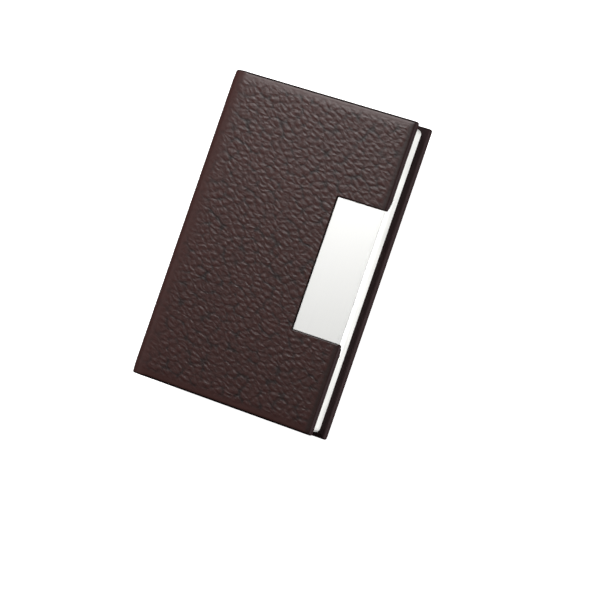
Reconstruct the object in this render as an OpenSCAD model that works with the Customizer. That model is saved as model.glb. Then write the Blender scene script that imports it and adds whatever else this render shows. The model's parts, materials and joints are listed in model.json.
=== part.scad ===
// Book-style card holder. Two leather-wrapped boards are joined by a rounded leather spine, a steel card tray
// stands on the back board, and a blank steel name plate is let into the opening edge of the front board.
// It lies on its back cover: +Z is up, +X is the opening edge, and Y runs along the spine.
// The origin is the middle of the closed case, on the surface that it lies on.

/* [Case] */
// Length along the spine
case_l = 95.5; // [80:0.5:130]
// Width from the outside of the spine to the opening edge
case_w = 64.5; // [50:0.5:100]
// Thickness when closed, which is also the spine's outer diameter
case_t = 13; // [11:0.1:20]

/* [Covers] */
// Leather thickness on the outside
leather_t = 0.8; // [0.6:0.05:1.2]
// Leather thickness where it is skived and turned in
turn_in_t = 0.5; // [0.3:0.05:0.8]
// Width of the leather turned in over the board
turn_in_w = 8; // [4:0.5:12]
// Foam between the leather and the board
padding_t = 0.4; // [0.2:0.05:0.8]
// Board inside each cover
board_t = 1; // [0.6:0.05:1.6]
// From the outside of the leather to the board's edge
board_inset = 1; // [0.7:0.05:1.5]
// From the fold to the edge of the board beside it
board_fold_gap = 1; // [0.4:0.1:3]
// Corner radius of the covers, seen from above
cover_corner_r = 1.2; // [0.4:0.1:3]

/* [Spine] */
// Stiffening strip under the spine leather
stiffener_t = 0.4; // [0.2:0.05:0.6]
// Angle of the spine's half circle that the stiffener leaves free beside each fold
stiffener_free_angle = 15; // [0:1:40]
// Cloth lining inside the spine
lining_t = 0.2; // [0.1:0.05:0.4]
// From the end of the spine to the lining
lining_inset = 2; // [1:0.5:4]
// Gap between the leather of two bodies at a fold
fold_gap = 0.2; // [0.1:0.05:0.4]

/* [Card tray] */
// Steel sheet of the tray
tray_wall_t = 0.45; // [0.3:0.05:0.8]
// From the cover's opening edge to the tray's wall
tray_edge_inset = 2.1; // [1.2:0.1:4]
// From each end of the cover to the tray's end wall
tray_end_inset = 1.25; // [1:0.05:4]
// From the back cover's fold side to the tray's wall
tray_fold_inset = 0.1; // [0.05:0.05:1]
// Outer radius of the tray's upright corners
tray_corner_r = 1.5; // [1.5:0.1:4]
// Outer radius of the bend between the tray's floor and its walls
tray_bend_r = 0.6; // [0.5:0.05:0.7]
// Gap between the tray's rim and the closed lid
rim_clearance = 0.1; // [0.05:0.05:0.3]
// Radius of the finger notch in each end wall
notch_r = 8; // [5:0.5:12]
// Depth of the finger notch below the rim
notch_depth = 4.5; // [2:0.1:5]

/* [Lid panel] */
// Steel sheet inside the lid
liner_t = 0.3; // [0.2:0.05:0.6]
// From the lid's opening edge and ends to the panel
liner_inset = 1.8; // [1.2:0.1:4]
// Corner radius of the panel
liner_corner_r = 2; // [0.5:0.1:4]

/* [Name plate] */
// Length of the plate's face along the opening edge
plate_l = 40.5; // [20:0.5:60]
// Width of the plate's face
plate_w = 16.2; // [8:0.1:30]
// Steel sheet of the plate
plate_t = 0.5; // [0.3:0.05:0.7]
// How far the folded lip reaches below the lid's leather
lip_below = 0.4; // [0:0.1:3]
// How much longer the lip is than the face at each end, at its lower edge
lip_flare = 4; // [0:0.1:6]
// Gap between the plate and the leather around it
plate_clearance = 0.1; // [0.05:0.05:0.3]
// From the plate's sides to the adhesive pad under it
plate_pad_inset = 0.5; // [0.2:0.1:2]

/* [Magnets] */
// Magnet length along the opening edge
magnet_l = 12; // [5:0.5:20]
// Magnet width
magnet_w = 3; // [2:0.1:5]
// Board left under each magnet
magnet_floor_t = 0.2; // [0.1:0.05:0.3]
// From the end of the cover to the end of the magnet beside it
magnet_inset = 7.5; // [2:0.5:12]

/* [Hidden] */
$fn = 64;

// Thickness of a leather-wrapped cover, and the radius of its rounded edge
cover_t = leather_t + padding_t + board_t + turn_in_t;
edge_r = cover_t / 2;
edge_x = case_w / 2;
end_y = case_l / 2;

// The spine's half circle, the fold line beside it and the edge of both covers at the fold
spine_r = case_t / 2;
spine_x = -edge_x + spine_r;
fold_x = spine_x + fold_gap / 2;
cover_x = fold_x + fold_gap / 2;

// Heights inside a cover, from its outer face
padding_z = leather_t;
board_z = padding_z + padding_t;
turn_in_z = board_z + board_t;
board_x = fold_x + board_fold_gap;
board_edge_x = edge_x - board_inset;
board_end_y = end_y - board_inset;

// The tray stands on the back cover and stops below the lid's steel panel
tray_x = cover_x + tray_fold_inset;
tray_edge_x = edge_x - tray_edge_inset;
tray_end_y = end_y - tray_end_inset;
tray_rim_z = case_t - cover_t - liner_t - rim_clearance;
notch_x = (tray_x + tray_edge_x) / 2;
notch_z = tray_rim_z + notch_r - notch_depth;

// Layers of the spine, from the outside in
stiffener_r = spine_r - leather_t;
turn_in_r = stiffener_r - stiffener_t;
lining_r = turn_in_r - turn_in_t;

// The name plate's face lies on the foam's level, and its lip hangs over the opening edge
plate_x = edge_x - plate_w;
plate_z = leather_t - plate_t;
lip_z = cover_t + lip_below;
magnet_t = board_t - magnet_floor_t;
magnet_x = tray_edge_x - magnet_w;
magnet_y = end_y - magnet_inset - magnet_l / 2;
cut = 1;

leather = [0.26, 0.19, 0.19];
foam = [0.82, 0.80, 0.74];
board = [0.62, 0.57, 0.49];
steel = [0.80, 0.81, 0.82];
glue = [0.90, 0.88, 0.80];

// A box between two corners
module block(low, high) {
    translate(low) cube(high - low);
}

// A rectangle from x0 to x1, centred on Y, with rounded corners
module rounded_rect(x0, x1, half_l, r) {
    for (x = [x0 + r, x1 - r], y = [r - half_l, half_l - r]) {
        translate([x, y]) circle(r);
    }
    translate([x0 + r, -half_l]) square([x1 - x0 - 2 * r, 2 * half_l]);
    translate([x0, r - half_l]) square([x1 - x0, 2 * (half_l - r)]);
}

// Puts a cover part, drawn with its outer face at z = 0, on top of the case as the lid
module as_lid() {
    translate([0, 0, case_t]) mirror([0, 0, 1]) children();
}

// The outside of a cover: a slab with three rounded edges, cut straight at the fold
module cover_form() {
    intersection() {
        rotate([90, 0, 0]) linear_extrude(case_l, center = true) {
            translate([cover_x, 0]) square([edge_x - edge_r - cover_x, cover_t]);
            translate([edge_x - edge_r, edge_r]) circle(edge_r);
        }
        translate([cover_x - cut, 0, 0]) rotate([90, 0, 90]) linear_extrude(case_w) {
            translate([edge_r - end_y, 0]) square([case_l - 2 * edge_r, cover_t]);
            for (y = [edge_r - end_y, end_y - edge_r]) {
                translate([y, edge_r]) circle(edge_r);
            }
        }
        translate([0, 0, -cut]) linear_extrude(cover_t + 2 * cut) {
            rounded_rect(cover_x - 2 * cover_corner_r, edge_x, end_y, cover_corner_r);
        }
    }
}

// Leather round three edges of the board, with its turned-in border on the inner face
module cover_leather() {
    difference() {
        cover_form();
        block([cover_x - cut, -board_end_y, padding_z], [board_edge_x, board_end_y, turn_in_z]);
        block([cover_x - cut, turn_in_w - end_y, board_z],
              [edge_x - turn_in_w, end_y - turn_in_w, cover_t + cut]);
    }
}

// A sheet that fills the board's outline between two heights
module board_sheet(z0, z1) {
    block([board_x, -board_end_y, z0], [board_edge_x, board_end_y, z1]);
}

// The pad of adhesive inside the border of turned-in leather
module adhesive_sheet() {
    block([board_x, turn_in_w - end_y, turn_in_z], [edge_x - turn_in_w, end_y - turn_in_w, cover_t]);
}

module base_leather() {
    color(leather) cover_leather();
}

module base_padding() {
    color(foam) board_sheet(padding_z, board_z);
}

module base_board() {
    color(board) board_sheet(board_z, turn_in_z);
}

module tray_adhesive() {
    color(glue) adhesive_sheet();
}

// A rounded box with a rounded bottom edge, from z = 0 to z = h
module pan_form(x0, x1, half_l, h, corner, bend) {
    translate([0, 0, bend]) linear_extrude(h - bend) rounded_rect(x0, x1, half_l, corner);
    linear_extrude(2 * bend) rounded_rect(x0 + bend, x1 - bend, half_l - bend, corner - bend);
    for (x = [x0 + bend, x1 - bend]) {
        translate([x, half_l - corner, bend]) rotate([90, 0, 0]) cylinder(h = 2 * (half_l - corner), r = bend);
    }
    for (y = [bend - half_l, half_l - bend]) {
        translate([x0 + corner, y, bend]) rotate([0, 90, 0]) cylinder(h = x1 - x0 - 2 * corner, r = bend);
    }
    for (x = [x0 + corner, x1 - corner], y = [corner - half_l, half_l - corner]) {
        translate([x, y, bend]) rotate_extrude() translate([corner - bend, 0]) circle(bend);
    }
}

// Drawn steel tray that holds the cards, with a finger notch in each end wall
module card_tray() {
    t = tray_wall_t;
    h = tray_rim_z - cover_t;
    color(steel) difference() {
        translate([0, 0, cover_t]) {
            pan_form(tray_x, tray_edge_x, tray_end_y, h, tray_corner_r, tray_bend_r);
        }
        translate([0, 0, cover_t + t]) {
            pan_form(tray_x + t, tray_edge_x - t, tray_end_y - t, h, tray_corner_r - t, tray_bend_r - t);
        }
        translate([notch_x, 0, notch_z]) rotate([90, 0, 0]) {
            cylinder(h = case_l, r = notch_r, center = true);
        }
    }
}

// Turns a profile, drawn as radius and length, into the spine's half circle
module spine_turn(free_angle = 0) {
    translate([spine_x, 0, spine_r]) rotate([90, 0, 0]) rotate([0, 0, 90 + free_angle]) {
        rotate_extrude(angle = 180 - 2 * free_angle) children();
    }
}

// A ring profile between two radii, stopping short of the ends of the spine
module ring_profile(r_in, r_out, inset) {
    translate([r_in, inset - end_y]) square([r_out - r_in, case_l - 2 * inset]);
}

// Leather over the rounded spine, turned in at both ends
module spine_leather() {
    end_r = (spine_r - lining_r) / 2;
    color(leather) spine_turn() difference() {
        union() {
            ring_profile(lining_r, spine_r, end_r);
            for (y = [end_r - end_y, end_y - end_r]) {
                translate([spine_r - end_r, y]) circle(end_r);
            }
        }
        ring_profile(turn_in_r, stiffener_r, board_inset);
        ring_profile(lining_r - cut, turn_in_r + stiffener_t / 2, turn_in_w);
    }
}

module spine_stiffener() {
    color(board) spine_turn(stiffener_free_angle) ring_profile(turn_in_r, stiffener_r, board_inset);
}

// Cloth inside the spine: it covers the turned-in ends and drops on to the stiffener between them
module spine_lining() {
    color(foam) spine_turn() union() {
        ring_profile(lining_r, turn_in_r, turn_in_w);
        ring_profile(lining_r - lining_t, lining_r, lining_inset);
    }
}

// The space for the name plate: its face, and the flared gap in the leather round the edge
module plate_space(gap) {
    block([plate_x - gap, -plate_l / 2 - gap, -cut], [edge_x + cut, plate_l / 2 + gap, leather_t]);
    translate([board_edge_x, 0, 0]) rotate([90, 0, 90]) linear_extrude(board_inset + cut) {
        lip_outline(gap, lip_z + cut);
    }
}

// The lip's shape along the opening edge: it widens from the face's length down to the leather's lower edge
module lip_outline(gap, depth) {
    top = plate_l / 2 + gap;
    low = top + lip_flare;
    polygon([[-top, plate_z], [top, plate_z], [low, cover_t], [low, depth], [-low, depth], [-low, cover_t]]);
}

module lid_leather() {
    color(leather) as_lid() difference() {
        cover_leather();
        plate_space(plate_clearance);
    }
}

// The adhesive pad under the name plate, in a cut-out of the foam
module plate_pad(grow = 0) {
    half = plate_l / 2 - plate_pad_inset;
    block([plate_x + plate_pad_inset, -half, padding_z - grow], [board_edge_x + grow, half, board_z + grow]);
}

module lid_padding() {
    color(foam) as_lid() difference() {
        board_sheet(padding_z, board_z);
        plate_pad(cut);
    }
}

// One pocket on each side of the middle, open towards the inside of the case
module magnet_pair(grow = 0) {
    for (y = [-magnet_y, magnet_y]) {
        block([magnet_x, y - magnet_l / 2, turn_in_z - magnet_t],
              [magnet_x + magnet_w, y + magnet_l / 2, turn_in_z + grow]);
    }
}

module lid_board() {
    color(board) as_lid() difference() {
        board_sheet(board_z, turn_in_z);
        magnet_pair(cut);
    }
}

module lid_magnets() {
    color([0.35, 0.35, 0.37]) as_lid() magnet_pair();
}

module liner_adhesive() {
    color(glue) as_lid() adhesive_sheet();
}

// Polished steel panel that covers the turned-in border of the lid
module lid_liner() {
    color(steel) as_lid() translate([0, 0, cover_t]) linear_extrude(liner_t) {
        rounded_rect(board_x, edge_x - liner_inset, end_y - liner_inset, liner_corner_r);
    }
}

module plate_adhesive() {
    color(glue) as_lid() plate_pad();
}

// Blank steel plate folded over the opening edge, where the flared lip is what a thumb lifts
module name_plate() {
    color(steel) as_lid() {
        block([plate_x, -plate_l / 2, plate_z], [edge_x, plate_l / 2, leather_t]);
        translate([edge_x - plate_t, 0, 0]) rotate([90, 0, 90]) linear_extrude(plate_t) {
            lip_outline(0, lip_z);
        }
    }
}

base_leather();
base_padding();
base_board();
tray_adhesive();
card_tray();
spine_leather();
spine_stiffener();
spine_lining();
lid_leather();
lid_padding();
lid_board();
lid_magnets();
liner_adhesive();
lid_liner();
plate_adhesive();
name_plate();
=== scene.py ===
import json
import math

import bpy
import numpy as np
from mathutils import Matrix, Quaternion, Vector


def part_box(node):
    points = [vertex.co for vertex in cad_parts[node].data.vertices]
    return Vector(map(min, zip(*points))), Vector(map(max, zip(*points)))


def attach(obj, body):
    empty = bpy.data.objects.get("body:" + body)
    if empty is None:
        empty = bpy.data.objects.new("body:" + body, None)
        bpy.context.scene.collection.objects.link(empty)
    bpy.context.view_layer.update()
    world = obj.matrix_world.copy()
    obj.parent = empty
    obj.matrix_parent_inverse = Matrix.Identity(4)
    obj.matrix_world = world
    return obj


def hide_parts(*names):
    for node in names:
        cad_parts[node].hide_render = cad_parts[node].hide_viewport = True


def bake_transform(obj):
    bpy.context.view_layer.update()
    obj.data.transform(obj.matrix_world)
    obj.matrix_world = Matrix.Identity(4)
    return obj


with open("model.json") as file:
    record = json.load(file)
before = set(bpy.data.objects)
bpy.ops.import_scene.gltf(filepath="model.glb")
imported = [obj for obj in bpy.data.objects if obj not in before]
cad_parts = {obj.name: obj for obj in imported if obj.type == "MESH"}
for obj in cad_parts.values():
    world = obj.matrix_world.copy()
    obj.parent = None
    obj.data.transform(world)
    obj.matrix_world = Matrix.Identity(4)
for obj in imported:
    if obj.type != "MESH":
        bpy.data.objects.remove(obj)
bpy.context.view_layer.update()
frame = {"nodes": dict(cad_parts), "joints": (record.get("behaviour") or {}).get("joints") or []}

# A book-style card holder that lies on its back cover: two leather-wrapped boards, a rounded leather spine,
# a steel card tray, a steel panel inside the lid and a blank steel name plate on the opening edge.
# Shapes are worked out in millimetres and built in metres.
MM = 0.001


def box_mm(node):
    """The lowest and highest corner of a CAD node, in millimetres."""
    low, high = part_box(node)
    return low / MM, high / MM


def colour(hex_value):
    """The linear colour of an sRGB hex value."""
    channels = [int(hex_value[i:i + 2], 16) / 255 for i in (1, 3, 5)]
    linear = [c / 12.92 if c <= 0.04045 else ((c + 0.055) / 1.055) ** 2.4 for c in channels]
    return (*linear, 1.0)


def smooth_step(value, low, high):
    """0 below low, 1 above high and a smooth rise between them."""
    share = np.clip((value - low) / (high - low), 0, 1)
    return share * share * (3 - 2 * share)


# ---------------------------------------------------------------- sizes

back_high = box_mm("base_leather")[1]
lid_high = box_mm("lid_leather")[1]
spine_low = box_mm("spine_leather")[0]
lining_high = box_mm("spine_lining")[1]
board_low = box_mm("lid_board")[0]
tray_low, tray_high = box_mm("card_tray")
panel_low, panel_high = box_mm("lid_liner")
plate_low, plate_high = box_mm("name_plate")

CASE_T = lid_high.z
COVER_T = back_high.z
EDGE_X = lid_high.x
END_Y = lid_high.y
SPINE_R = CASE_T / 2
SPINE_X = spine_low.x + SPINE_R
FOLD_X = frame["joints"][0]["pos_m"][0] / MM
# Leather on the outside, and where it is skived and turned in
LEATHER_T = 0.8
TURN_IN_T = 0.5
TURN_IN_W = 8.0
# Leather, stiffener and turned-in leather together at the spine's ends
SPINE_WALL_T = 1.7
LINING_T = 0.2
# Rounded corners of the covers, seen from above
CORNER_R = 1.45
# The padding thins out towards the board's edges, so the leather falls away a little before it rolls over
SHOULDER_W = 2.6
SHOULDER_SINK = 0.14
# Wrapped edges and corners are squarer than a half circle: 1 is round, and smaller is squarer
EDGE_SQUARE = 0.72
CORNER_SQUARE = 0.4
# Spacing of the mesh over the leather, over its rolled edges and over what is turned in
SKIN_STEP = 0.42
ROLL_STEP = 0.32
TURN_IN_STEP = 1.6
# The leather of the two halves meets at the middle of the spine, where one row of each runs under the other
SEAM_OVERLAP = 0.4
SEAM_SINK = 0.03
# The spine's wall thickens to the cover's over this distance on each side of the fold
WALL_SPINE_SIDE = 0.9
WALL_COVER_SIDE = 0.7
# Places closer than this count as the same
NEAR = 0.01


# ---------------------------------------------------------------- camera

# Product shot through a long lens, from over the opening edge. The camera is rolled, so that the case stands
# on its short side and leans to the right
CAMERA_DISTANCE = 808.1
CAMERA_LENS = 165.9
CAMERA_AZIMUTH = math.radians(87.81)
CAMERA_ELEVATION = math.radians(63.48)
CAMERA_ROLL = math.radians(-69.03)
# From the middle of the case to the point that the camera looks at
AIM_OFFSET = Vector((12.12, -11.54, 0))


def make_camera():
    back = Vector((math.sin(CAMERA_AZIMUTH) * math.cos(CAMERA_ELEVATION),
                   -math.cos(CAMERA_AZIMUTH) * math.cos(CAMERA_ELEVATION),
                   math.sin(CAMERA_ELEVATION)))
    aim = Vector((0, 0, SPINE_R)) + AIM_OFFSET
    data = bpy.data.cameras.new("product_camera")
    data.lens = CAMERA_LENS
    data.sensor_width = 36
    data.clip_start = 0.01
    data.clip_end = 20
    camera = bpy.data.objects.new("product_camera", data)
    camera.rotation_mode = "QUATERNION"
    camera.location = (aim + back * CAMERA_DISTANCE) * MM
    camera.rotation_quaternion = (-back).to_track_quat("-Z", "Y") @ Quaternion((0, 0, 1), CAMERA_ROLL)
    bpy.context.scene.collection.objects.link(camera)
    bpy.context.scene.camera = camera


make_camera()


# ---------------------------------------------------------------- materials

def add(tree, kind, settings={}, inputs={}):
    """Adds one node with its settings. An input is a value, or a node and the name of its output."""
    node = tree.nodes.new(kind)
    for name, value in settings.items():
        setattr(node, name, value)
    for name, value in inputs.items():
        socket = next(s for s in node.inputs if name in (s.identifier, s.name))
        if isinstance(value, tuple) and isinstance(value[0], bpy.types.Node):
            source = next(s for s in value[0].outputs if value[1] in (s.identifier, s.name))
            tree.links.new(source, socket)
        else:
            socket.default_value = value
    return node


def new_material(name):
    material = bpy.data.materials.new(name)
    material.use_nodes = True
    material.node_tree.nodes.clear()
    return material, material.node_tree


def finish_material(tree, surface):
    add(tree, "ShaderNodeOutputMaterial", {}, {"Surface": (surface, "BSDF")})


def per_mm(size):
    """Texture scale of a pattern of this size where coordinates are in metres."""
    return 1 / (size * MM)


# Cells of the pebbles, and of the crumbs on them, to the width of one pebble
PEBBLE_CELLS = 0.7
CRUMB_CELLS = 1.35
# How irregular the cells are: 0 is a plain grid
CELL_DISORDER = 0.85
# Distances in cells: from a furrow to a pebble's full height, and from a pebble's middle to where a pit
# starts and is deepest
DOME_RISE = 0.45
PIT_START = 0.46
PIT_END = 0.85
# How far noise pulls the pebbles out of line, along and across the stretch, in pebbles
PEBBLE_PULL = (0.7, 1.0, 0)
# Relief in the material, in millimetres: the pebbles, and the fine wrinkles on all leather
PEBBLE_RELIEF = 0.076
WRINKLE_RELIEF = 0.04


def pebble_dome(tree, place, cells_per_pebble):
    """Rounded pebbles with furrows between them, from 0 in a furrow to 1 on a pebble."""
    edge = add(tree, "ShaderNodeTexVoronoi", {"voronoi_dimensions": "2D", "feature": "DISTANCE_TO_EDGE"},
               {"Vector": place, "Scale": cells_per_pebble, "Randomness": CELL_DISORDER})
    return add(tree, "ShaderNodeMapRange", {"interpolation_type": "SMOOTHSTEP"},
               {"Value": (edge, "Distance"), "From Max": DOME_RISE})


def embossed_cowhide():
    """Cowhide, drum dyed dark brown, embossed with a pebbled grain and finished with a soft satin top coat.

    Pebbles catch a wide, soft light. The furrows and pits between them are painted darker, as painted shade,
    and are duller. The mesh has the coarser relief, and the bump here has what is finer than the mesh. The
    attributes are "furrow" for depth in the mesh's furrows, which sets the painted shade there, "rim" for
    painted shade on the rolled edges and beside the opening edge and a painted shadow line round the cut
    window, and
    "shown" for how much grain there is.
    """
    material, tree = new_material("embossed_cowhide")
    place = add(tree, "ShaderNodeUVMap", {"uv_map": "hide"})
    furrow = add(tree, "ShaderNodeAttribute", {"attribute_name": "furrow"})
    rim = add(tree, "ShaderNodeAttribute", {"attribute_name": "rim"})
    shown = add(tree, "ShaderNodeAttribute", {"attribute_name": "shown"})
    cloud = add(tree, "ShaderNodeTexNoise", {"noise_dimensions": "2D"},
                {"Vector": (place, "UV"), "Scale": per_mm(14), "Detail": 3.0, "Roughness": 0.55})
    pull = add(tree, "ShaderNodeTexNoise", {"noise_dimensions": "2D"},
               {"Vector": (place, "UV"), "Scale": per_mm(4.5), "Detail": 1.0})
    stretched = add(tree, "ShaderNodeMapping", {"vector_type": "TEXTURE"},
                    {"Vector": (place, "UV"), "Rotation": (0, 0, PEBBLE_ANGLE),
                     "Scale": (PEBBLE_W * PEBBLE_STRETCH * MM, PEBBLE_W * MM, 1)})
    pulled = add(tree, "ShaderNodeVectorMath", {"operation": "MULTIPLY_ADD"},
                 {"Vector": (pull, "Color"), "Vector_001": PEBBLE_PULL, "Vector_002": (stretched, "Vector")})
    pebble = pebble_dome(tree, (pulled, "Vector"), PEBBLE_CELLS)
    crumb = pebble_dome(tree, (pulled, "Vector"), CRUMB_CELLS)
    middle = add(tree, "ShaderNodeTexVoronoi", {"voronoi_dimensions": "2D"},
                 {"Vector": (pulled, "Vector"), "Scale": PEBBLE_CELLS, "Randomness": CELL_DISORDER})
    pit = add(tree, "ShaderNodeMapRange", {"interpolation_type": "SMOOTHSTEP"},
              {"Value": (middle, "Distance"), "From Min": PIT_START, "From Max": PIT_END})
    relief = add(tree, "ShaderNodeMath", {"operation": "MULTIPLY_ADD"},
                 {"Value": (crumb, "Result"), "Value_001": 0.3, "Value_002": (pebble, "Result")})
    shown_relief = add(tree, "ShaderNodeMath", {"operation": "MULTIPLY"},
                       {"Value": (relief, "Value"), "Value_001": (shown, "Fac")})
    shown_pit = add(tree, "ShaderNodeMath", {"operation": "MULTIPLY"},
                    {"Value": (pit, "Result"), "Value_001": (shown, "Fac")})
    # Painted shade in the pits and in the mesh's furrows
    dark = add(tree, "ShaderNodeMath", {"operation": "MULTIPLY_ADD", "use_clamp": True},
               {"Value": (shown_pit, "Value"), "Value_001": 0.8, "Value_002": (furrow, "Fac")})
    dyed = add(tree, "ShaderNodeMix", {"data_type": "RGBA"},
               {"Factor_Float": (cloud, "Fac"), "A_Color": colour("#3e1f1b"), "B_Color": colour("#462420")})
    shaded = add(tree, "ShaderNodeMix", {"data_type": "RGBA"},
                 {"Factor_Float": (dark, "Value"), "A_Color": (dyed, "Result_Color"),
                  "B_Color": colour("#220f0d")})
    # Painted shade on the rolled edges and beside the opening edge, and a painted shadow line round the cut
    # window
    edged = add(tree, "ShaderNodeMix", {"data_type": "RGBA"},
                {"Factor_Float": (rim, "Fac"), "A_Color": (shaded, "Result_Color"),
                 "B_Color": colour("#140a08")})
    dulled = add(tree, "ShaderNodeMapRange", {},
                 {"Value": (dark, "Value"), "To Min": 0.43, "To Max": 0.48})
    wrinkles = add(tree, "ShaderNodeTexNoise", {"noise_dimensions": "2D"},
                   {"Vector": (place, "UV"), "Scale": per_mm(0.6), "Detail": 4.0, "Roughness": 0.6})
    fine = add(tree, "ShaderNodeBump", {},
               {"Height": (wrinkles, "Fac"), "Strength": 0.5, "Distance": WRINKLE_RELIEF * MM})
    raised = add(tree, "ShaderNodeBump", {},
                 {"Height": (shown_relief, "Value"), "Strength": 1.0, "Distance": PEBBLE_RELIEF * MM,
                  "Normal": (fine, "Normal")})
    skin = add(tree, "ShaderNodeBsdfPrincipled", {},
               {"Base Color": (edged, "Result_Color"), "Roughness": (dulled, "Result"), "IOR": 1.45,
                "Normal": (raised, "Normal")})
    finish_material(tree, skin)
    return material


def painted_shade_leather_edge():
    """Matt, nearly black and hardly glossy: painted shade on the rolled leather of the edges."""
    material, tree = new_material("matt_painted_edge_shade")
    place = add(tree, "ShaderNodeUVMap", {"uv_map": "hide"})
    strokes = add(tree, "ShaderNodeTexNoise", {"noise_dimensions": "2D"},
                  {"Vector": (place, "UV"), "Scale": per_mm(0.9), "Detail": 3.0, "Roughness": 0.6})
    tone = add(tree, "ShaderNodeMix", {"data_type": "RGBA"},
               {"Factor_Float": (strokes, "Fac"), "A_Color": colour("#170a0a"), "B_Color": colour("#211113")})
    relief = add(tree, "ShaderNodeBump", {},
                 {"Height": (strokes, "Fac"), "Strength": 0.5, "Distance": WRINKLE_RELIEF * MM})
    dye = add(tree, "ShaderNodeBsdfPrincipled", {},
              {"Base Color": (tone, "Result_Color"), "Roughness": 0.7, "IOR": 1.47,
               "Specular IOR Level": 0.15, "Normal": (relief, "Normal")})
    finish_material(tree, dye)
    return material


def brushed_steel(name, tint, streak_length, streak_width, roughness, relief):
    """Stainless steel sheet, brushed along the case, in object coordinates.

    The brushing spreads reflections across the streaks, so the sheet looks bright and silky, not mirrored.
    """
    material, tree = new_material(name)
    place = add(tree, "ShaderNodeTexCoord")
    stretch = add(tree, "ShaderNodeMapping", {},
                  {"Vector": (place, "Object"),
                   "Scale": (per_mm(streak_width), per_mm(streak_length), per_mm(streak_width))})
    streaks = add(tree, "ShaderNodeTexNoise", {},
                  {"Vector": (stretch, "Vector"), "Scale": 1.0, "Detail": 3.0, "Roughness": 0.6})
    smears = add(tree, "ShaderNodeTexNoise", {},
                 {"Vector": (place, "Object"), "Scale": per_mm(18), "Detail": 2.0})
    tone = add(tree, "ShaderNodeMix", {"data_type": "RGBA"},
               {"Factor_Float": (streaks, "Fac"), "A_Color": colour(tint[0]), "B_Color": colour(tint[1])})
    gloss = add(tree, "ShaderNodeMapRange", {},
                {"Value": (streaks, "Fac"), "From Min": 0.3, "From Max": 0.7,
                 "To Min": roughness - 0.05, "To Max": roughness + 0.05})
    handled = add(tree, "ShaderNodeMath", {"operation": "MULTIPLY_ADD"},
                  {"Value": (smears, "Fac"), "Value_001": 0.06, "Value_002": (gloss, "Result")})
    scratch = add(tree, "ShaderNodeBump", {},
                  {"Height": (streaks, "Fac"), "Strength": 0.4, "Distance": relief * MM})
    metal = add(tree, "ShaderNodeBsdfPrincipled", {},
                {"Base Color": (tone, "Result_Color"), "Metallic": 1.0, "Roughness": (handled, "Value"),
                 "Normal": (scratch, "Normal")})
    finish_material(tree, metal)
    return material


# Width of a thread in the lining as drawn. Real threads are about a third as wide and wouldn't show
THREAD_W = 0.4
# Fits the wave texture's scale, so that one wave is about two threads wide
WAVE_FIT = 6.28


def woven_lining():
    """Rayon lining cloth, plain woven: fine threads over and under each other, matt with a faint sheen."""
    material, tree = new_material("woven_lining_cloth")
    place = add(tree, "ShaderNodeUVMap", {"uv_map": "hide"})
    threads = []
    for axis in ("X", "Y"):
        threads.append(add(tree, "ShaderNodeTexWave", {"bands_direction": axis},
                           {"Vector": (place, "UV"), "Scale": per_mm(THREAD_W) / WAVE_FIT, "Distortion": 0.4,
                            "Detail": 1.0}))
    weave = add(tree, "ShaderNodeMath", {"operation": "MULTIPLY"},
                {"Value": (threads[0], "Fac"), "Value_001": (threads[1], "Fac")})
    tone = add(tree, "ShaderNodeMix", {"data_type": "RGBA"},
               {"Factor_Float": (weave, "Value"), "A_Color": colour("#15100f"), "B_Color": colour("#3a302d")})
    relief = add(tree, "ShaderNodeBump", {},
                 {"Height": (weave, "Value"), "Strength": 0.8, "Distance": 0.08 * MM})
    cloth = add(tree, "ShaderNodeBsdfPrincipled", {},
                {"Base Color": (tone, "Result_Color"), "Roughness": 0.85, "IOR": 1.5, "Sheen Weight": 0.25,
                 "Sheen Roughness": 0.4, "Normal": (relief, "Normal")})
    finish_material(tree, cloth)
    return material


def speckled_solid(name, tones, grain_size, roughness, relief, metallic=0.0):
    """A plain material with fine grains of two tones: pressed board, foam, tape, or plating on a magnet.

    The grains break up the light a little, so the piece looks solid and not painted.
    """
    material, tree = new_material(name)
    place = add(tree, "ShaderNodeTexCoord")
    grain_noise = add(tree, "ShaderNodeTexNoise", {},
                      {"Vector": (place, "Object"), "Scale": per_mm(grain_size), "Detail": 4.0})
    tone = add(tree, "ShaderNodeMix", {"data_type": "RGBA"},
               {"Factor_Float": (grain_noise, "Fac"), "A_Color": colour(tones[0]),
                "B_Color": colour(tones[1])})
    bump = add(tree, "ShaderNodeBump", {},
               {"Height": (grain_noise, "Fac"), "Strength": 0.6, "Distance": relief * MM})
    solid = add(tree, "ShaderNodeBsdfPrincipled", {},
                {"Base Color": (tone, "Result_Color"), "Roughness": roughness, "Metallic": metallic,
                 "Normal": (bump, "Normal")})
    finish_material(tree, solid)
    return material


def studio_paper():
    """Matt white paper with a fine tooth. It glows as if lit from behind, so that it looks evenly white."""
    material, tree = new_material("white_studio_paper")
    place = add(tree, "ShaderNodeTexCoord")
    tooth = add(tree, "ShaderNodeTexNoise", {}, {"Vector": (place, "Object"), "Scale": per_mm(0.5)})
    tone = add(tree, "ShaderNodeMix", {"data_type": "RGBA"},
               {"Factor_Float": (tooth, "Fac"), "A_Color": colour("#f6f6f5"), "B_Color": colour("#fbfbfa")})
    paper = add(tree, "ShaderNodeBsdfPrincipled", {},
                {"Base Color": (tone, "Result_Color"), "Roughness": 0.9, "Specular IOR Level": 0.2,
                 "Emission Color": (1, 1, 1, 1), "Emission Strength": 0.9})
    finish_material(tree, paper)
    return material


# ---------------------------------------------------------------- leather grain

# Size of one pebble across, and how much longer it is along the way the hide was stretched
PEBBLE_W = 1.25
PEBBLE_STRETCH = 1.65
# From the line across the case to the way of the stretch
PEBBLE_ANGLE = math.radians(-23)
# From the deepest furrow to the highest pebble, and the share of that height that lies on the plain skin
PEBBLE_DEPTH = 0.145
PLAIN_HEIGHT = 0.75
# The random places of the pebbles and the crumbs repeat after this many cells
JITTER_CELLS = 128


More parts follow.
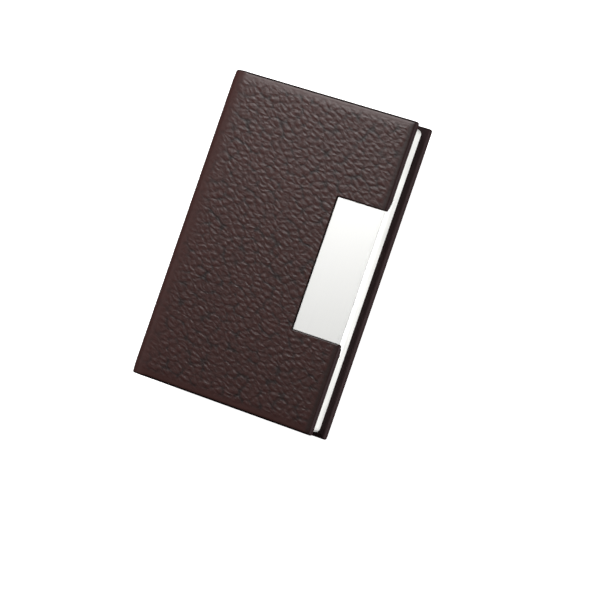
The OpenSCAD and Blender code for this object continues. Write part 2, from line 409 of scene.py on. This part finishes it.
def ripples(u, v, size, seed):
    """Smooth waves of about this size in random directions, mostly between -1 and 1."""
    rng = np.random.default_rng(seed)
    total = np.zeros_like(u)
    count = 7
    for _ in range(count):
        heading, phase = rng.random(2) * math.tau
        length = size * (0.7 + 0.8 * rng.random())
        total += np.sin((u * math.cos(heading) + v * math.sin(heading)) * math.tau / length + phase)
    return total / math.sqrt(count) / 1.6


def pebbles(u, v, seed):
    """Distances to the three nearest pebble centres, in pebbles, and the nearest one's own random height."""
    rng = np.random.default_rng(seed)
    jitter = 0.1 + 0.8 * rng.random((2, JITTER_CELLS, JITTER_CELLS))
    heights = rng.random((JITTER_CELLS, JITTER_CELLS))
    cell_u, cell_v = np.floor(u).astype(int), np.floor(v).astype(int)
    distances, owners = [], []
    for step_u in (-1, 0, 1):
        for step_v in (-1, 0, 1):
            at_u, at_v = cell_u + step_u, cell_v + step_v
            pick = (at_u % JITTER_CELLS, at_v % JITTER_CELLS)
            distances.append(np.hypot(at_u + jitter[0][pick] - u, at_v + jitter[1][pick] - v))
            owners.append(heights[pick])
    distances, owners = np.array(distances), np.array(owners)
    order = np.argsort(distances, axis=0)
    near = np.take_along_axis(distances, order, 0)
    height = np.take_along_axis(owners, order[:1], 0)[0]
    return near[0], near[1], near[2], height


def swells(along, across, seed):
    """Irregular ridges and dimples about a pebble apart, longer along the stretch, from 0 to 1."""
    rng = np.random.default_rng(seed)
    total = np.zeros_like(along)
    count = 70
    for _ in range(count):
        heading, phase, pick = rng.random(3) * (math.tau, math.tau, 1)
        length = PEBBLE_W * (0.85 + 0.9 * pick)
        total += np.sin((along * math.cos(heading) / PEBBLE_STRETCH + across * math.sin(heading))
                        * math.tau / length + phase)
    return 1 / (1 + np.exp(-1.6 * total / math.sqrt(count / 2)))


def grain(u, v):
    """Height of the embossed grain, from 0 to about 1, and how deep in a furrow a point is, from 0 to 1."""
    along = u * math.cos(PEBBLE_ANGLE) + v * math.sin(PEBBLE_ANGLE)
    across = v * math.cos(PEBBLE_ANGLE) - u * math.sin(PEBBLE_ANGLE)
    along = along + 0.3 * ripples(u, v, 5.0, 11)
    across = across + 0.2 * ripples(u, v, 4.2, 12)
    first, second, third, own = pebbles(along / (PEBBLE_W * PEBBLE_STRETCH), across / PEBBLE_W, 21)
    dome = 1 - np.exp(-3.2 * (second - first))
    pit = np.exp(-5.0 * (third - first))
    small_1, small_2, *_ = pebbles(along / (PEBBLE_W * 0.62), across / (PEBBLE_W * 0.5), 22)
    crumb = 1 - np.exp(-3.0 * (small_2 - small_1))
    swell = swells(along, across, 31)
    # The shares of pebbles, crumbs, pits and swells in the height add up to 1
    height = 0.36 * dome * (0.7 + 0.3 * own) + 0.12 * crumb + 0.12 * (1 - pit) + 0.40 * swell
    # How deep in a furrow or pit a point is, which sets the painted shade there
    furrow = np.clip(0.25 * (1 - dome) ** 1.5 + 0.35 * pit ** 1.5 + 0.8 * np.maximum(0.4 - swell, 0), 0, 1)
    return height * (1 + 0.12 * ripples(u, v, 11.0, 14)), furrow


# ---------------------------------------------------------------- mesh helpers

def finish_object(name, mesh, material):
    mesh.materials.append(material)
    piece = bpy.data.objects.new(name, mesh)
    bpy.context.scene.collection.objects.link(piece)
    return piece


def shell_mesh(name, outer, inner, uv, keep, flip, values={}, dyed=None):
    """A closed sheet between two grids of points, without the cells that keep leaves out.

    outer and inner are rows x columns x 3 in millimetres, uv is rows x columns x 2 and values has point
    attributes. The cells that dyed picks, and the cut edges, take the second material.
    """
    rows, columns = outer.shape[:2]
    index = np.arange(rows * columns).reshape(rows, columns)
    cells = np.stack([index[:-1, :-1], index[1:, :-1], index[1:, 1:], index[:-1, 1:]], axis=-1)[keep]
    total = rows * columns
    edges = np.concatenate([cells[:, [0, 1]], cells[:, [1, 2]], cells[:, [2, 3]], cells[:, [3, 0]]])
    keys = np.sort(edges, axis=1) @ np.array([total, 1])
    _, first, count = np.unique(keys, return_index=True, return_counts=True)
    rim = edges[first[count == 1]]
    walls = np.stack([rim[:, 1], rim[:, 0], rim[:, 0] + total, rim[:, 1] + total], axis=-1)
    faces = np.concatenate([cells, cells[:, ::-1] + total, walls])
    used, compact = np.unique(faces, return_inverse=True)
    faces = compact.reshape(faces.shape)
    if flip:
        faces = faces[:, ::-1]
    points = np.concatenate([outer.reshape(-1, 3), inner.reshape(-1, 3)])[used]
    mesh = bpy.data.meshes.new(name)
    mesh.from_pydata((points * MM).tolist(), [], faces.tolist())
    mesh.shade_smooth()
    corner_uv = np.concatenate([uv.reshape(-1, 2)] * 2)[used][faces.ravel()] * MM
    mesh.uv_layers.new(name="hide").data.foreach_set("uv", corner_uv.astype(np.float32).ravel())
    for title, grid in values.items():
        stored = np.concatenate([grid.ravel(), np.ones(total)])[used]
        mesh.attributes.new(title, "FLOAT", "POINT").data.foreach_set("value", stored.astype(np.float32))
    if dyed is not None:
        slots = np.concatenate([dyed[keep], dyed[keep], np.ones(len(walls), bool)])
        mesh.polygons.foreach_set("material_index", slots.astype(np.int32))
    mesh.update()
    return mesh


def lofted_mesh(name, rings):
    """A closed solid from rings of points in millimetres, with a flat face on the first and the last ring."""
    count = len(rings[0])
    points = np.concatenate(rings) * MM
    faces = []
    for level in range(len(rings) - 1):
        for i in range(count):
            j = (i + 1) % count
            low, high = level * count, (level + 1) * count
            faces.append((low + i, low + j, high + j, high + i))
    last = (len(rings) - 1) * count
    faces.append(tuple(range(count - 1, -1, -1)))
    faces.append(tuple(range(last, last + count)))
    mesh = bpy.data.meshes.new(name)
    mesh.from_pydata(points.tolist(), [], faces)
    mesh.shade_smooth()
    mesh.polygons[len(faces) - 1].use_smooth = False
    mesh.polygons[len(faces) - 2].use_smooth = False
    mesh.update()
    return mesh


def stops(breaks, step):
    """Positions from the first break to the last, about a step apart, that include every break."""
    found = [breaks[0]]
    for low, high in zip(breaks, breaks[1:]):
        count = max(1, round((high - low) / step))
        found.extend(low + (high - low) * (i + 1) / count for i in range(count))
    return np.array(found)


# ---------------------------------------------------------------- leather covers

# Distances over the skin, measured from the middle of the spine
SPINE_ARC = SPINE_R * math.pi / 2
CORNER_S = SPINE_ARC + EDGE_X - CORNER_R - SPINE_X
CORNER_Y = END_Y - CORNER_R
# Distances past the corner's centre: where the edge starts to roll over, where it is on the inside, and the
# edge of what is turned in
ROLL_START = CORNER_R - COVER_T / 2
ROLL_END = ROLL_START + math.pi * COVER_T / 2
TURN_IN_END = ROLL_END + TURN_IN_W
MITRE_L = 20.0
# How far past the roll the turned-in leather has taken its flat shape, and the lip's flare has gone from it
TURN_IN_BLEND = 1.0
FLARE_TUCK = 2.0

# The window that is cut in the lid's leather for the name plate, and how it widens round the edge
WINDOW_GAP = 0.1
LIP_FLARE = 4.0
FLARE_START = 0.35
FLARE_FADE = 7.0
window_s = SPINE_ARC + plate_low.x - WINDOW_GAP - SPINE_X
# The plate's box is as wide as its lip, which is a flare longer than the face at each end
window_y = plate_high.y - LIP_FLARE + WINDOW_GAP


def flare_at(share_down):
    """How much the lip is longer than the plate's face, at a share of the way down the lid's edge."""
    return LIP_FLARE * smooth_step(share_down, FLARE_START, 1.0)


def squared(value, power):
    """A sine or cosine bent so that the curve it draws fills its corner more."""
    return np.sign(value) * np.abs(value) ** power


def skin_line(s):
    """The lid's skin in X and Z at distance s from the middle of the spine, and the way inwards."""
    turn = np.minimum(s, SPINE_ARC) / SPINE_R
    x = SPINE_X - SPINE_R * np.cos(turn) + np.maximum(s - SPINE_ARC, 0)
    z = SPINE_R + SPINE_R * np.sin(turn)
    return x, z, np.cos(turn), -np.sin(turn)


def half_thickness(s):
    """Half of the wrapped thickness: the spine's wall is thinner than the covers."""
    x = s - SPINE_ARC + SPINE_X
    share = smooth_step(x, FOLD_X - WALL_SPINE_SIDE, FOLD_X + WALL_COVER_SIDE)
    return SPINE_WALL_T / 2 + share * (COVER_T - SPINE_WALL_T) / 2


def mitred(along, corner, rho, past):
    """Squeezes the last stretch of a turned-in row, so that it ends on the corner's mitre."""
    start = corner - MITRE_L
    squeeze = (MITRE_L + ROLL_START - past) / (MITRE_L + rho)
    return np.where(along > start, start + (along - start) * squeeze, along)


def wrapped(s, t, inset, flared):
    """The skin of the lid and half the spine: over the top, round three edges and turned in over the board.

    s runs across the case from the middle of the spine, and t along it from its middle. inset is how deep in
    the leather the points lie. Returns the points, the way out of the leather and how far round the edge they
    are.
    """
    past_s = np.maximum(s - CORNER_S, 0)
    past_t = np.maximum(np.abs(t) - CORNER_Y, 0)
    rho = np.maximum(past_s, past_t)
    by_edge = past_s >= past_t
    share = np.minimum(past_s, past_t) / np.where(rho > 0, rho, 1) * math.pi / 4
    heading = np.where(by_edge, share, math.pi / 2 - share)
    half = half_thickness(s)
    turn = np.clip((rho - ROLL_START) / (COVER_T / 2), 0, math.pi)
    past = np.maximum(rho - ROLL_END, 0)
    flat = CORNER_R - half
    reach = np.clip(rho / ROLL_START, 0, 1) * flat
    out = reach + (half - inset) * squared(np.sin(turn), EDGE_SQUARE)
    to_roll = ROLL_START - rho + np.where(rho > 0, 0, np.minimum(CORNER_S - s, CORNER_Y - np.abs(t)))
    sink = SHOULDER_SINK * np.clip(1 - to_roll / SHOULDER_W, 0, 1) ** 2 * (1 - turn / math.pi)
    depth = half - (half - inset) * squared(np.cos(turn), EDGE_SQUARE) + sink
    share_x = squared(np.cos(heading), CORNER_SQUARE)
    share_y = squared(np.sin(heading), CORNER_SQUARE)

    blend = np.clip(past / TURN_IN_BLEND, 0, 1)
    row_t = np.abs(t)
    ring_y = np.minimum(row_t, CORNER_Y) + out * share_y
    ring_s = np.minimum(s, CORNER_S)
    ring_x = out * share_x
    inner_y = ring_y + (mitred(row_t, CORNER_Y, rho, past) - ring_y) * blend
    inner_s = ring_s + ring_x + (mitred(s, CORNER_S, rho, past) - ring_s - ring_x) * blend
    y = np.where(past > 0, np.where(by_edge, inner_y, CORNER_Y + flat - past), ring_y)
    along_s = np.where((past > 0) & ~by_edge, inner_s, ring_s)
    off_x = np.where(past > 0, np.where(by_edge, flat - past, 0), ring_x)
    if flared:
        spread = np.where(row_t < window_y, row_t / window_y, 1 - (row_t - window_y) / FLARE_FADE)
        fade = np.clip(1 - past / FLARE_TUCK, 0, 1) * (past_s > 0)
        y = y + flare_at((1 - np.cos(turn)) / 2) * np.clip(spread, 0, 1) * fade

    x, z, in_x, in_z = skin_line(along_s)
    sign = np.where(t < 0, -1.0, 1.0)
    points = np.stack([x + in_x * depth + off_x, y * sign, z + in_z * depth], axis=-1)
    level = np.sin(turn)
    outwards = np.stack([level * np.cos(heading) - in_x * np.cos(turn), level * np.sin(heading) * sign,
                         -in_z * np.cos(turn)], axis=-1)
    return points, outwards, turn


# Share of the grain that is left on the spine, and how far before and after the spine's end it comes back
SPINE_GRAIN = 0.30
GRAIN_BEFORE = 3.5
GRAIN_AFTER = 5.0
# Share of the grain that is pulled out at the edges, and how far from the roll that starts
EDGE_PULL = 0.8
EDGE_PULL_W = 1.7
# How far round the edge, in radians, the last grain fades, and the painted shade on the edge comes in
GRAIN_FADE = (2.2, 3.0)
EDGE_SHADE_FADE = (0.5, 1.3)
# Leather turned further than this takes the near-black edge material, as painted shade
EDGE_SHADE_FROM = 0.6
# Painted shade on the hide beside the opening edge too: how much, and from how far before the corner's centre
# to how far past it
OPENING_SHADE = 0.7
OPENING_BEFORE = 1.0
OPENING_PAST = 0.3


def cell_means(grid):
    """The mean of two opposite corners of each cell."""
    return (grid[:-1, :-1] + grid[1:, 1:]) / 2


def cover_skin(name, flared, on_back):
    """One cover's leather with its half of the spine, as a closed sheet with the grain embossed in it."""
    rows = np.concatenate([stops([-SEAM_OVERLAP, 0, SPINE_ARC, window_s, CORNER_S + ROLL_START], SKIN_STEP),
                           stops([CORNER_S + ROLL_START, CORNER_S + ROLL_END], ROLL_STEP)[1:],
                           stops([CORNER_S + ROLL_END, CORNER_S + TURN_IN_END], TURN_IN_STEP)[1:]])
    half_columns = np.concatenate([stops([0, window_y, CORNER_Y + ROLL_START], SKIN_STEP),
                                   stops([CORNER_Y + ROLL_START, CORNER_Y + ROLL_END], ROLL_STEP)[1:],
                                   stops([CORNER_Y + ROLL_END, CORNER_Y + TURN_IN_END], TURN_IN_STEP)[1:]])
    columns = np.concatenate([-half_columns[:0:-1], half_columns])
    s, t = np.meshgrid(rows, columns, indexing="ij")

    outer, outwards, turn = wrapped(s, t, 0.0, flared)
    inset = LEATHER_T + (TURN_IN_T - LEATHER_T) * turn / math.pi
    inner = wrapped(s, t, inset, flared)[0]

    u = -s if on_back else s
    height, furrow = grain(u, t)
    # The hide is pulled smooth where it goes over the spine, and over the edges and the corners
    off_spine = smooth_step(s, SPINE_ARC - GRAIN_BEFORE, SPINE_ARC + GRAIN_AFTER)
    pulled = SPINE_GRAIN + (1 - SPINE_GRAIN) * off_spine
    before_roll = np.maximum(s - CORNER_S, np.abs(t) - CORNER_Y) - ROLL_START
    taut = 1 - EDGE_PULL * smooth_step(before_roll, -EDGE_PULL_W, 0.0)
    shown = pulled * taut * (1 - smooth_step(turn, *GRAIN_FADE))
    outer = outer + outwards * (PEBBLE_DEPTH * (height - PLAIN_HEIGHT) * shown)[..., None]
    outer = outer - outwards * (SEAM_SINK * np.clip(-s / SEAM_OVERLAP, 0, 1))[..., None]

    middle_s, middle_t = cell_means(s), np.abs(cell_means(t))
    keep = np.ones(middle_s.shape, bool)
    # Painted shade on the rolled edges and beside the opening edge, and a painted shadow line round the cut
    # window: all darker than the hide
    opening_shade = smooth_step(s, CORNER_S - OPENING_BEFORE, CORNER_S + OPENING_PAST)
    rim = np.maximum(smooth_step(turn, *EDGE_SHADE_FADE), OPENING_SHADE * opening_shade)
    if flared:
        keep = ~((middle_s > window_s) & (middle_s < CORNER_S + ROLL_END) & (middle_t < window_y))
        # A painted shadow line on the row of points round the cut window
        at_window = (s > window_s - NEAR) & (np.abs(t) < window_y + NEAR)
        rim = np.maximum(rim, at_window)
    if on_back:
        outer, inner = [np.stack([p[..., 0], p[..., 1], CASE_T - p[..., 2]], axis=-1) for p in (outer, inner)]
    values = {"furrow": furrow * shown, "rim": rim, "shown": shown}
    # Cells turned far round the edge take the near-black material, as painted shade
    dyed = cell_means(turn) > EDGE_SHADE_FROM
    mesh = shell_mesh(name, outer, inner, np.stack([u, t], axis=-1), keep, on_back, values, dyed)
    skin = finish_object(name, mesh, cowhide)
    mesh.materials.append(rolled_edge_shade)
    return skin


cowhide = embossed_cowhide()
rolled_edge_shade = painted_shade_leather_edge()

lid_skin = cover_skin("lid_cover_leather", flared=True, on_back=False)
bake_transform(lid_skin)
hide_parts("lid_leather", "spine_leather")

back_skin = cover_skin("back_cover_leather", flared=False, on_back=True)
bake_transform(back_skin)
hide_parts("base_leather", "spine_leather")


# ---------------------------------------------------------------- lining of the spine

LINING_STEP = 0.5
LINING_END_Y = lining_high.y
# How far each half goes past the middle of the spine
LINING_OVERLAP = 0.3
# One row of points lies this far before the spine's end, ahead of the fold
LINING_FOLD_W = 2.0
# Between the cloth and the leather, and from the cloth's ends to the lid's board and to the tray
LINING_CLEAR = 0.01
LINING_BOARD_GAP = 0.02
LINING_TRAY_GAP = 0.05


def lining_strip(name, end_x, on_back):
    """Half of the cloth inside the spine, from its middle over the fold to end_x, as a closed sheet."""
    rows = stops([-LINING_OVERLAP, 0, SPINE_ARC - LINING_FOLD_W, SPINE_ARC + end_x - SPINE_X], LINING_STEP)
    columns = stops([-LINING_END_Y, LINING_END_Y], LINING_STEP * 2)
    s, t = np.meshgrid(rows, columns, indexing="ij")
    x, z, in_x, in_z = skin_line(s)
    sides = []
    for extra in (LINING_T, LINING_CLEAR):
        depth = 2 * half_thickness(s) + extra
        height = z + in_z * depth
        sides.append(np.stack([x + in_x * depth, t, CASE_T - height if on_back else height], axis=-1))
    mesh = shell_mesh(name, sides[0], sides[1], np.stack([s, t], axis=-1),
                      np.ones((len(rows) - 1, len(columns) - 1), bool), not on_back)
    return finish_object(name, mesh, lining_cloth), (rows[-1] - rows[0]) * MM, 2 * LINING_END_Y * MM


lining_cloth = woven_lining()

lid_lining, lid_lining_w, lid_lining_l = lining_strip("lid_hinge_lining", board_low.x - LINING_BOARD_GAP,
                                                     on_back=False)
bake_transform(lid_lining)
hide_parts("spine_lining")

back_lining, back_lining_w, back_lining_l = lining_strip("back_hinge_lining", tray_low.x - LINING_TRAY_GAP,
                                                        on_back=True)
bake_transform(back_lining)
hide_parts("spine_lining")


# ---------------------------------------------------------------- steel pieces

# Edge left by deburring the cut sheet, and the angles of the points round it, without the first or the last
DEBURR_R = 0.1
DEBURR_RISE = (0.5, 1.05, 1.57)
DEBURR_FALL = (0, 0.5, 1.05)
# Distance between the points on straight sides, and from the corners to the first of them
PANEL_STEP = 2.0
TRAY_STEP = 1.5
CORNER_CLEAR = 3.0
# Where the flat faces start inside the edges, so that shading stays flat on them
PANEL_FACE_INSET = 1.2
TRAY_FLOOR_INSET = 0.8
# No corner is drawn sharper than this
SMALLEST_R = 0.02
PANEL_CORNER_R = 2.0
# The tray's wall, its corners seen from above, the bend round its floor and the finger notch in each end
TRAY_WALL_T = 0.45
TRAY_CORNER_R = 1.5
TRAY_BEND_R = 0.5
NOTCH_R = 8.0
NOTCH_DEPTH = 4.5
# The name plate's sheet, its bend over the lid's edge and the corners at its inner end
PLATE_T = 0.5
PLATE_BEND_R = 0.5
PLATE_CORNER_R = 0.35
# Distance between the points across the plate, and along it as a share of half its length
PLATE_STEP = 0.8
PLATE_ROW_SHARE = 0.05
# A row of points beside each end keeps the deburred edge's shading off the face
PLATE_END_ROW = 0.15
PLATE_DEBURR_W = 0.08


def rounded_outline(low, high, corner_r, inset, x_stops, y_stops):
    """Points anticlockwise round a rectangle with rounded corners, with the stops on its straight sides."""
    r = max(corner_r - inset, SMALLEST_R)
    turns = np.linspace(0, math.pi / 2, 9)
    left, right = low.x + inset + r, high.x - inset - r
    front, back = low.y + inset + r, high.y - inset - r
    inner_x = x_stops[(x_stops > left + NEAR) & (x_stops < right - NEAR)]
    inner_y = y_stops[(y_stops > front + NEAR) & (y_stops < back - NEAR)]
    points = [(x, low.y + inset) for x in inner_x]
    points += [(right + r * math.sin(a), front - r * math.cos(a)) for a in turns]
    points += [(high.x - inset, y) for y in inner_y]
    points += [(right + r * math.cos(a), back + r * math.sin(a)) for a in turns]
    points += [(x, high.y - inset) for x in inner_x[::-1]]
    points += [(left - r * math.sin(a), back + r * math.cos(a)) for a in turns]
    points += [(low.x + inset, y) for y in inner_y[::-1]]
    points += [(left - r * math.cos(a), front - r * math.sin(a)) for a in turns]
    return np.array(points)


def ring(outline, height):
    """Gives an outline its height, which is one number or one for each point."""
    return np.column_stack([outline, np.broadcast_to(height, len(outline))])


def steel_panel():
    """The flat steel sheet inside the lid, with rounded corners and deburred edges."""
    x_stops = stops([panel_low.x + CORNER_CLEAR, panel_high.x - CORNER_CLEAR], PANEL_STEP)
    y_stops = stops([panel_low.y + CORNER_CLEAR, panel_high.y - CORNER_CLEAR], PANEL_STEP)

    def at(inset, z):
        return ring(rounded_outline(panel_low, panel_high, PANEL_CORNER_R, inset, x_stops, y_stops), z)

    low, high, r = panel_low.z, panel_high.z, DEBURR_R
    rings = [at(PANEL_FACE_INSET, low), at(r, low)]
    rings += [at(r - r * math.sin(a), low + r - r * math.cos(a)) for a in DEBURR_RISE]
    rings += [at(r - r * math.cos(a), high - r + r * math.sin(a)) for a in DEBURR_FALL]
    rings += [at(r, high), at(PANEL_FACE_INSET, high)]
    return lofted_mesh("lid_steel_panel", rings)


def card_tray():
    """The tray drawn from one steel sheet: rounded bends, a deburred rim and a finger notch in each end."""
    notch_x = (tray_low.x + tray_high.x) / 2
    notch_z = tray_high.z + NOTCH_R - NOTCH_DEPTH
    notch_turn = math.acos((NOTCH_R - NOTCH_DEPTH) / NOTCH_R)
    notch = notch_x + NOTCH_R * np.sin(np.linspace(-notch_turn, notch_turn, 33))
    x_stops = np.concatenate([stops([tray_low.x + CORNER_CLEAR, notch[0]], TRAY_STEP)[:-1], notch,
                              stops([notch[-1], tray_high.x - CORNER_CLEAR], TRAY_STEP)[1:]])
    y_stops = stops([tray_low.y + CORNER_CLEAR, tray_high.y - CORNER_CLEAR], TRAY_STEP)

    def at(inset, z_of_rim):
        outline = rounded_outline(tray_low, tray_high, TRAY_CORNER_R, inset, x_stops, y_stops)
        aside = np.abs(outline[:, 0] - notch_x)
        at_end = (np.abs(outline[:, 1]) > tray_high.y - inset - NEAR) & (aside < NOTCH_R)
        dip = notch_z - np.sqrt(np.maximum(NOTCH_R ** 2 - aside ** 2, 0))
        rim = np.where(at_end, np.minimum(dip, tray_high.z), tray_high.z)
        return ring(outline, z_of_rim(rim))

    floor_z, bend_r, wall_t, r = tray_low.z, TRAY_BEND_R, TRAY_WALL_T, DEBURR_R
    inner_r = bend_r - wall_t
    bend = np.linspace(0, math.pi / 2, 6)
    climb = np.linspace(0, 1, 7)
    outside = [(bend_r - bend_r * math.sin(a), floor_z + bend_r - bend_r * math.cos(a)) for a in bend]
    inside = [(wall_t + inner_r - inner_r * math.sin(a), floor_z + wall_t + inner_r - inner_r * math.cos(a))
              for a in bend[::-1]]
    rings = [at(bend_r + TRAY_FLOOR_INSET, lambda rim: floor_z)]
    rings += [at(inset, lambda rim, z=z: z) for inset, z in outside]
    foot = floor_z + bend_r
    rings += [at(0, lambda rim, k=k: foot + (rim - r - foot) * k) for k in climb[1:]]
    rings += [at(r - r * math.cos(a), lambda rim, a=a: rim - r + r * math.sin(a)) for a in DEBURR_RISE]
    rings += [at(wall_t - r + r * math.sin(a), lambda rim, a=a: rim - r + r * math.cos(a))
              for a in DEBURR_FALL]
    rings += [at(wall_t, lambda rim, k=k: foot + (rim - r - foot) * k) for k in climb[:0:-1]]
    rings += [at(inset, lambda rim, z=z: z) for inset, z in inside]
    rings += [at(bend_r + TRAY_FLOOR_INSET, lambda rim: floor_z + wall_t)]
    return lofted_mesh("steel_card_tray", rings)


def name_plate():
    """The blank plate: a flat face, a bend over the lid's edge and a lip that widens downwards."""
    bend_r, top, edge = PLATE_BEND_R, plate_high.z, plate_high.x
    half_l = plate_high.y - LIP_FLARE
    bend_len = bend_r * math.pi / 2
    face_end = edge - bend_r - plate_low.x
    lip_start = face_end + bend_len
    total = lip_start + top - bend_r - plate_low.z
    s = stops([0, face_end, lip_start, total], PLATE_STEP)
    s = np.unique(np.concatenate([s, np.linspace(face_end, lip_start, 7),
                                  np.linspace(0, 1, 5) * PLATE_CORNER_R]))
    by_end = 1 - PLATE_END_ROW / half_l
    t = np.concatenate([[-1], stops([-by_end, by_end], PLATE_ROW_SHARE), [1]])
    s, t = np.meshgrid(s, t, indexing="ij")
    turn = np.clip((s - face_end) / bend_r, 0, math.pi / 2)
    sides = []
    for inset in (0.0, PLATE_T):
        radius = bend_r - inset
        x = plate_low.x + np.minimum(s, face_end) + radius * np.sin(turn)
        z = top - bend_r + radius * np.cos(turn) - np.maximum(s - lip_start, 0)
        flare = flare_at((CASE_T - z) / COVER_T) * (turn > 0)
        corner = np.maximum(PLATE_CORNER_R - s, 0)
        rounded = PLATE_CORNER_R - np.sqrt(np.maximum(PLATE_CORNER_R ** 2 - corner ** 2, 0))
        sides.append(np.stack([x, t * (half_l + flare - rounded), z], axis=-1))
    return shell_mesh("blank_name_plate", sides[0], sides[1], np.stack([s, t], axis=-1),
                      np.ones((s.shape[0] - 1, s.shape[1] - 1), bool), False)


tray = finish_object("steel_card_tray", card_tray(),
                     brushed_steel("satin_stainless_tray", tint=("#eeeeeb", "#f9f9f6"), streak_length=9.0,
                                   streak_width=0.25, roughness=0.56, relief=0.02))
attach(tray, "base")
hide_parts("card_tray")

panel = finish_object("lid_steel_panel", steel_panel(),
                      brushed_steel("brushed_stainless_panel", tint=("#dededb", "#efefec"),
                                    streak_length=14.0, streak_width=0.16, roughness=0.24, relief=0.015))
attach(panel, "lid")
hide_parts("lid_liner")

plate = finish_object("blank_name_plate", name_plate(),
                      brushed_steel("satin_stainless_plate", tint=("#f7f7f5", "#fdfdfb"), streak_length=12.0,
                                    streak_width=0.2, roughness=0.58, relief=0.01))
plate_edge = plate.modifiers.new("deburred_edge", "BEVEL")
plate_edge.width = PLATE_DEBURR_W * MM
plate_edge.segments = 2
plate_edge.limit_method = "ANGLE"
plate_edge.angle_limit = math.radians(50)
plate_edge.harden_normals = False
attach(plate, "lid")
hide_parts("name_plate")


# ---------------------------------------------------------------- pieces inside the covers

grey_board = speckled_solid("grey_book_board", tones=("#8f897d", "#a69f92"), grain_size=0.5, roughness=0.9,
                            relief=0.03)
foam_sheet = speckled_solid("closed_cell_foam_sheet", tones=("#d9d5c8", "#eae7dc"), grain_size=0.3,
                            roughness=0.85, relief=0.04)
tape = speckled_solid("double_sided_tape", tones=("#e2dcc8", "#efeadb"), grain_size=0.6, roughness=0.6,
                      relief=0.01)
magnet = speckled_solid("nickel_plated_magnet", tones=("#a9a7a2", "#b9b7b1"), grain_size=0.2, roughness=0.3,
                        relief=0.005, metallic=1.0)
inside_materials = {"base_padding": foam_sheet, "lid_padding": foam_sheet, "base_board": grey_board,
                    "lid_board": grey_board, "spine_stiffener": grey_board, "lid_magnets": magnet,
                    "tray_adhesive": tape, "liner_adhesive": tape, "plate_adhesive": tape}
for node, material in inside_materials.items():
    slots = frame["nodes"][node].data.materials
    slots.clear()
    slots.append(material)


# ---------------------------------------------------------------- floor and lights

# The paper lies this much below the case, which leaves room for the spine when the case opens
FLOOR_Z = -8.0
# From the case to the paper's edges, in metres
FLOOR_REACH = 3.0


def make_floor():
    mesh = bpy.data.meshes.new("studio_floor")
    corners = ((-1, -1), (1, -1), (1, 1), (-1, 1))
    points = [(x * FLOOR_REACH, y * FLOOR_REACH, FLOOR_Z * MM) for x, y in corners]
    mesh.from_pydata(points, [], [(0, 1, 2, 3)])
    floor = finish_object("studio_floor", mesh, studio_paper())
    # The paper gives no bounced light and isn't reflected, so the covers' edges stay dark
    floor.visible_diffuse = False
    floor.visible_glossy = False


def soft_light(name, place, target, size, power):
    """A soft box of this width and height that faces the target, in metres, with its power in watts."""
    data = bpy.data.lights.new(name, "AREA")
    data.shape = "RECTANGLE"
    data.size, data.size_y = size
    data.energy = power
    lamp = bpy.data.objects.new(name, data)
    lamp.location = place
    lamp.visible_camera = False
    lamp.rotation_mode = "QUATERNION"
    lamp.rotation_quaternion = (Vector(target) - Vector(place)).to_track_quat("-Z", "Y")
    bpy.context.scene.collection.objects.link(lamp)


def make_world(strength):
    world = bpy.data.worlds.new("studio_room")
    world.use_nodes = True
    background = world.node_tree.nodes["Background"]
    background.inputs["Color"].default_value = (1, 1, 1, 1)
    background.inputs["Strength"].default_value = strength
    bpy.context.scene.world = world


make_floor()
make_world(0.06)
# The key rakes over the pebbles from beyond the far end of the spine. The strip lies low, level with the
# covers, and lights the steel between them. The other three are weak, and keep the spine and the near end
# from going black
soft_light("key_soft_box", (-0.14, 0.22, 0.30), (0, 0, 0.01), (0.19, 0.19), 1.34)
soft_light("overhead_card", (-0.20, -0.10, 0.42), (0, 0, 0.01), (0.22, 0.22), 0.06)
soft_light("low_strip", (0.17, 0, 0.006), (0, 0, 0.006), (0.30, 0.012), 0.66)
soft_light("spine_fill", (-0.45, 0.05, 0.20), (0, 0, 0), (0.35, 0.30), 0.2)
soft_light("front_fill", (0.05, -0.50, 0.20), (0, 0, 0), (0.35, 0.30), 0.12)
bpy.context.scene.view_settings.view_transform = "Standard"
